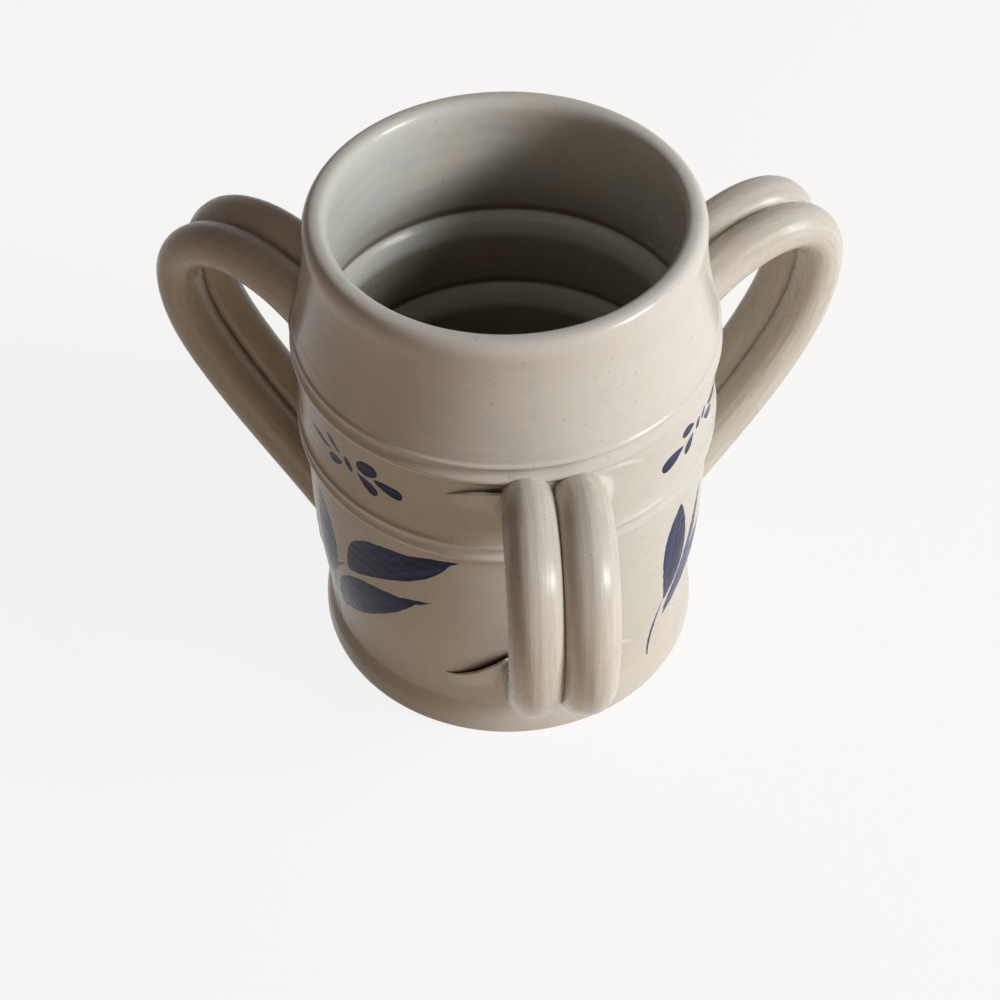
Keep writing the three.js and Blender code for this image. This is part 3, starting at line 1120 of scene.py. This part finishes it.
    def _bury(self, mesh: bmesh.types.BMesh, sideways: float) -> None:
        """Cuts a coil's two ends off inside the wall and closes them.

        Args:
            mesh: the coil's mesh.
            sideways: how far the coil lies from the handle's middle.
        """
        root = self.to_world() @ Vector((0.0, sideways, 0.0))
        outwards = Vector((root.x, root.y, 0.0)).normalized()
        bmesh.ops.bisect_plane(
            mesh, geom=mesh.verts[:] + mesh.edges[:] + mesh.faces[:],
            plane_co=outwards * self.buried_radius * MM, plane_no=outwards, clear_inner=True,
        )
        bmesh.ops.holes_fill(mesh, edges=[edge for edge in mesh.edges if edge.is_boundary])

    def axis_points(self) -> list[Vector]:
        """Gives both coils' middle lines near their ends, in millimetres."""
        world = self.to_world()
        line = self.line()
        near = [*line[4:30], *line[-30:-4]]
        return [world @ Vector((x, (i - 0.5) * self.spacing, z)) for i in (0, 1) for x, z in near]


@dataclass
class Luting:
    """Soft clay pressed round one joint: a fillet round both coils, drawn into two wings.

    A wing is a flap that lies on the wall. Its crest stands off, with a pocket behind it.
    Painted shade darkens its edge, the pocket, and a thin sheet laid on the wall above it.
    """

    handle: Handle
    end: End
    body: ThrownBody
    wing_angle: float = 33.0
    coil_angle: float = 13.0
    fillet: float = 3.2
    coil_radius: float = 5.6
    dip: float = 0.22
    edge_thickness: float = 0.8
    pocket_depth: float = 2.6
    # A thin sheet on the wall above the crest, which carries painted shade.
    shade_sheet: float = 0.04
    buried: float = 0.9
    columns: int = 170
    face_rows: int = 60
    edge_rows: int = 6
    back_rows: int = 8
    shade_sheet_rows: int = 14

    def spread(self) -> tuple[float, float]:
        """Gives the lowest and the highest point that the wad reaches."""
        if self.end is End.UPPER:
            return 75.5, 92.0
        return 10.8, 35.4

    def crest(self, out: float) -> tuple[float, float, float]:
        """Gives a wing's crest.

        Args:
            out: degrees from the handle's middle.

        Returns:
            The crest's height above the foot, how far it stands proud, and how far the
            flap reaches down below it.
        """
        past = max(0.0, out - self.coil_angle)
        if self.end is End.UPPER:
            proud = 2.4 * (1.0 - min(1.0, past / 15.6) ** 2.0)
            return 91.2 - 4.0 * (past / 15.0) ** 1.8, proud, 12.0 - 0.35 * past
        left = max(0.0, 1.0 - past / 19.2)
        return 20.8 + 12.4 * left**1.7, 3.0 * (1.0 - (1.0 - left) ** 1.5), 15.0 - 0.4 * past

    def strength(self, across: float) -> float:
        """Gives how strong the wing is on one side of the handle."""
        left, right = self.handle.wings
        return left + (right - left) * smoothstep(-0.25, 0.25, across)

    def face(self, across: float, height: float, axes: list[Vector]) -> float:
        """Gives the radius of the clay's face at one place.

        Args:
            across: the place's share of the wing's angle, -1 to 1.
            height: the place's height above the foot.
            axes: the coils' middle lines.

        Returns:
            The radius in millimetres, less than the wall's where the clay has run out.
        """
        out = abs(across) * self.wing_angle
        crest, tall, below = self.crest(out)
        gap = height - crest
        fall = 1.0 - smoothstep(0.0, 1.6, gap) if gap > 0.0 else max(0.0, 1.0 + gap / below) ** 1.8
        wing = tall * self.strength(across) * fall
        turn = math.radians(self.handle.azimuth + across * self.wing_angle)
        radius = self.body.wall_radius(height)
        point = Vector((radius * math.cos(turn), radius * math.sin(turn), height))
        root = 0.0
        if out < self.coil_angle + 10.0:
            off = min((point - axis).length for axis in axes) - self.coil_radius
            root = max(0.0, self.fillet - max(off, 0.0)) ** 2 / (1.6 * self.fillet)
        low, high = self.spread()
        root *= smoothstep(high, high - 3.5, height)
        joined = max(wing, root) + 0.25 * min(wing, root)
        ends = smoothstep(low, low + 1.5, height) * smoothstep(high, high - 0.7, height)
        edge = ends * smoothstep(1.0, 0.96, abs(across))
        soft = noise.noise(point * 0.3) * 0.12 + noise.noise(point * 1.1) * 0.03
        return radius + joined * (1.0 + soft) * edge - self.dip

    def section(self, across: float, axes: list[Vector]) -> list[Spot]:
        """Gives the wad's closed section at one place along its wings.

        Args:
            across: the place's share of the wing's angle, -1 to 1.
            axes: the coils' middle lines.

        Returns:
            Points as radius, height and how much painted shade darkens the pocket there, up the
            face, over the crest, down into the pocket, up the wall and back inside the wall.
        """
        low, high = self.spread()
        out = abs(across) * self.wing_angle
        crest = self.crest(out)[0]
        heights = [low + (crest - low) * k / self.face_rows for k in range(self.face_rows + 1)]
        path = [(self.face(across, height, axes), height, 0.0) for height in heights]

        wall = self.body.wall_radius
        brow = path[-1][0]
        proud = max(0.0, brow - wall(crest))
        half = min(self.edge_thickness, 0.5 * proud) / 2.0
        depth = self.pocket_depth * smoothstep(0.0, 2.0, proud)
        rise = min((2.0 if self.end is End.UPPER else 6.5) * smoothstep(0.0, 2.2, proud), high - crest)
        shade_sheet = self.shade_sheet - (self.shade_sheet + self.dip) * (1.0 - smoothstep(0.0, 0.5, proud))
        # Painted shade: dark over the crest's edge and in the pocket behind it, and fading up the thin
        # sheet laid on the wall.
        hooked = []
        for k in range(1, self.edge_rows + 1):
            turn, dark = math.pi * k / self.edge_rows, 0.5 * smoothstep(0.5, 1.0, k / self.edge_rows)
            hooked.append((brow - half + half * math.cos(turn), crest + half * math.sin(turn), dark))
        floor = wall(crest - depth) + shade_sheet
        for k in range(1, self.back_rows + 1):
            share = k / self.back_rows
            radius = brow - 2.0 * half + (floor - brow + 2.0 * half) * share
            hooked.append((radius, crest - depth * share, 0.5 + 0.5 * smoothstep(0.0, 0.3, share)))
        for k in range(1, self.shade_sheet_rows + 1):
            share = k / self.shade_sheet_rows
            height = crest - depth + (depth + rise) * share
            sunk = 0.3 * smoothstep(0.8, 1.0, share)
            hooked.append((wall(height) + shade_sheet - sunk, height, max(0.0, 1.0 - share / 0.8) ** 1.3))

        pocket = smoothstep(-4.0, -1.0, out - self.coil_angle)
        pocket *= smoothstep(0.4, 0.9, self.strength(across))
        top = min(crest + 2.2, high)
        for k, (radius, height, dark) in enumerate(hooked, 1):
            level = crest + (top - crest) * k / len(hooked)
            plain = self.face(across, level, axes)
            shade = dark * pocket * smoothstep(0.1, 0.7, proud)
            path.append((plain + (radius - plain) * pocket, level + (height - level) * pocket, shade))
        last = path[-1][1]
        path += [(wall(last) - self.buried, last, 0.0), (wall(low) - self.buried, low, 0.0), path[0]]
        return path

    def build(self, look: bpy.types.Material) -> None:
        """Lays a grid round the wad's sections, closes it and seats it."""
        axes = self.handle.axis_points()
        sections = [self.section(2.0 * k / self.columns - 1.0, axes) for k in range(self.columns + 1)]
        rows = len(sections[0]) - 1
        mesh = bmesh.new()
        hollow = mesh.verts.layers.float.new("hollow")
        bmesh.ops.create_grid(mesh, x_segments=self.columns, y_segments=rows, size=1.0)
        for vert in mesh.verts:
            column, row = (vert.co.x + 1.0) / 2.0, (vert.co.y + 1.0) / 2.0
            radius, height, dark = sections[round(column * self.columns)][round(row * rows)]
            turn = math.radians(self.handle.azimuth + vert.co.x * self.wing_angle)
            spot = Vector((radius * math.cos(turn), radius * math.sin(turn), height))
            vert.co = self.body.settle(spot * MM)
            # Painted shade of the pocket goes into the hollow layer.
            vert[hollow] = dark
        bmesh.ops.remove_doubles(mesh, verts=mesh.verts, dist=1e-6)
        bmesh.ops.holes_fill(mesh, edges=[edge for edge in mesh.edges if edge.is_boundary])
        name = f"{self.handle.name}_{self.end.value}"
        piece = finished_object(f"{name}_luting_clay", mesh)
        seat(piece, f"{name}_luting", [look])


@dataclass
class Studio:
    """The floor, the lamps and the camera."""

    eye: Spot = (-0.0019, -0.3095, 0.3766)
    look_down: float = 47.95
    roll: float = -0.83
    lens: float = 65.95
    floor_colour: Colour = (0.78, 0.68, 0.56)
    floor_whiteness: float = 0.87
    room_colour: Colour = (0.66, 0.4, 0.23)
    room_light: float = 0.09

    def camera(self) -> None:
        """Sets the camera where the photograph was taken from."""
        pitch, roll = math.radians(self.look_down), math.radians(self.roll)
        ahead = Vector((0.0, math.cos(pitch), -math.sin(pitch)))
        up = Vector((0.0, math.sin(pitch), math.cos(pitch)))
        level = Vector((1.0, 0.0, 0.0))
        right = math.cos(roll) * level + math.sin(roll) * up
        over = -math.sin(roll) * level + math.cos(roll) * up
        data = bpy.data.cameras.new("camera")
        data.lens = self.lens
        data.sensor_width = 36.0
        data.clip_start, data.clip_end = 0.01, 10.0
        camera = bpy.data.objects.new("camera", data)
        turn = Matrix((right, over, -ahead)).transposed().to_4x4()
        camera.matrix_world = Matrix.Translation(self.eye) @ turn
        bpy.context.scene.collection.objects.link(camera)
        bpy.context.scene.camera = camera

    def lamp(self, name: str, place: Spot, size: float, power: float, colour: Colour) -> None:
        """Hangs one square soft lamp that faces the mug.

        Args:
            name: the lamp's name.
            place: where it hangs, in metres.
            size: the length of its side, in metres.
            power: its power in watts.
            colour: its colour.
        """
        data = bpy.data.lights.new(name, "AREA")
        data.shape, data.size, data.energy, data.color = "SQUARE", size, power, colour
        lamp = bpy.data.objects.new(name, data)
        lamp.location = place
        aim = Vector((0.0, 0.0, 0.06)) - Vector(place)
        lamp.rotation_euler = aim.to_track_quat("-Z", "Y").to_euler()
        bpy.context.scene.collection.objects.link(lamp)

    def shown_white(self, board: Board, own: bpy.types.Node, plain: str, share: float) -> Socket:
        """Shows white to the camera, in a gloss and through clear things, and to nothing else.

        Args:
            board: the board of the floor's material or of the room.
            own: the shader that all other rays meet.
            plain: the kind of node that gives the white.
            share: how much of what the camera sees is white.

        Returns:
            The mixed shader.
        """
        white = board.fill(board.add(plain), Color=(1.0, 1.0, 1.0, 1.0))
        mixed = board.add("ShaderNodeMixShader")
        rays = board.add("ShaderNodeLightPath").outputs
        glossy = board.math("MAXIMUM", rays["Is Glossy Ray"], rays["Is Transmission Ray"])
        seen = board.math("MAXIMUM", rays["Is Camera Ray"], glossy)
        board.fill(mixed, board.times(seen, share), own.outputs[0], white.outputs[0])
        return mixed.outputs[0]

    def floor(self) -> None:
        """Lays the pale floor, which the camera sees as nearly white."""
        mesh = bmesh.new()
        bmesh.ops.create_grid(mesh, x_segments=1, y_segments=1, size=3.0)
        piece = finished_object("floor", mesh)
        look = bpy.data.materials.new("pale floor")
        look.use_nodes = True
        board = Board(look.node_tree)
        shader = look.node_tree.nodes["Principled BSDF"]
        board.fill(shader, Base_Color=(*self.floor_colour, 1.0), Roughness=0.9)
        mixed = self.shown_white(board, shader, "ShaderNodeEmission", self.floor_whiteness)
        board.put(mixed, look.node_tree.nodes["Material Output"].inputs["Surface"])
        piece.data.materials.append(look)

    def world(self) -> None:
        """Lights the room softly and warmly, and shows the camera white."""
        world = bpy.data.worlds.new("room")
        bpy.context.scene.world = world
        world.use_nodes = True
        board = Board(world.node_tree)
        room = world.node_tree.nodes["Background"]
        board.fill(room, Color=(*self.room_colour, 1.0), Strength=self.room_light)
        mixed = self.shown_white(board, room, "ShaderNodeBackground", 1.0)
        board.put(mixed, world.node_tree.nodes["World Output"].inputs["Surface"])

    def build(self) -> None:
        """Sets up the whole studio."""
        self.camera()
        self.floor()
        self.world()
        self.lamp("window lamp", (0.93, -0.32, 0.63), size=0.36, power=13.4, colour=(0.96, 1.0, 1.03))
        self.lamp("fill lamp", (-0.1, -1.1, 0.28), size=0.5, power=0.9, colour=(1.0, 0.66, 0.44))
        bpy.context.scene.view_settings.view_transform = "Standard"


HANDLES = (
    Handle(
        "front", azimuth=-78.4, turn=-9.0, reach=36.48, crown_drop=9.86, coils=("left", "right")
    ),
    Handle(
        "right", azimuth=28.2, turn=-0.6, reach=38.41, crown_drop=2.86, coils=("front", "back"),
        wings=(0.9, 0.9),
    ),
    Handle(
        "left", azimuth=156.7, turn=-8.6, reach=41.11, crown_drop=7.28, coils=("back", "front"),
        wings=(0.9, 0.9),
    ),
)

PAINTED_GLOSS = 0.05
BODY_GLAZE = Glaze()
# The lutings', the inside's and the coils' glazes are darkened by painted shade from the hollow layer.
CLAY_GLAZE = Glaze(gloss=PAINTED_GLOSS, hollow_shaded=True)
INNER_GLAZE = Glaze(
    ground=(0.585, 0.58, 0.525), cool=(0.545, 0.555, 0.51), painted_shade=(0.13, 0.08, 0.04), hollow_shaded=True
)
COIL_GLAZE = Glaze(
    ground=(0.59, 0.545, 0.475), roughness=(0.26, 0.42), gloss=0.25, relief=0.35,
    streaked=True, hollow_shaded=True,
)


def main() -> None:
    """Builds the studio, the body, and each handle with its lutings."""
    logging.basicConfig(level=logging.INFO, format="%(message)s")
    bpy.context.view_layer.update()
    Studio().build()
    groups = GlazeGroups()
    looks = [BODY_GLAZE.material("body glaze", groups)]
    for number, panel in enumerate(PANELS):
        painted = Glaze(panel=panel, gloss=PAINTED_GLOSS)
        looks.append(painted.material(f"painted body glaze {number}", groups))
    looks.append(INNER_GLAZE.material("inner glaze", groups))
    body = ThrownBody(looks, PANELS)
    body.build()
    clay = CLAY_GLAZE.material("luting glaze", groups)
    for handle in HANDLES:
        for index in (0, 1):
            name, seed = f"{handle.name} coil glaze {index}", index * 7.0 + handle.azimuth
            handle.coil(index, COIL_GLAZE.material(name, groups, seed))
        for end in End:
            Luting(handle, end, body).build(clay)


if __name__ == "__main__":
    main()
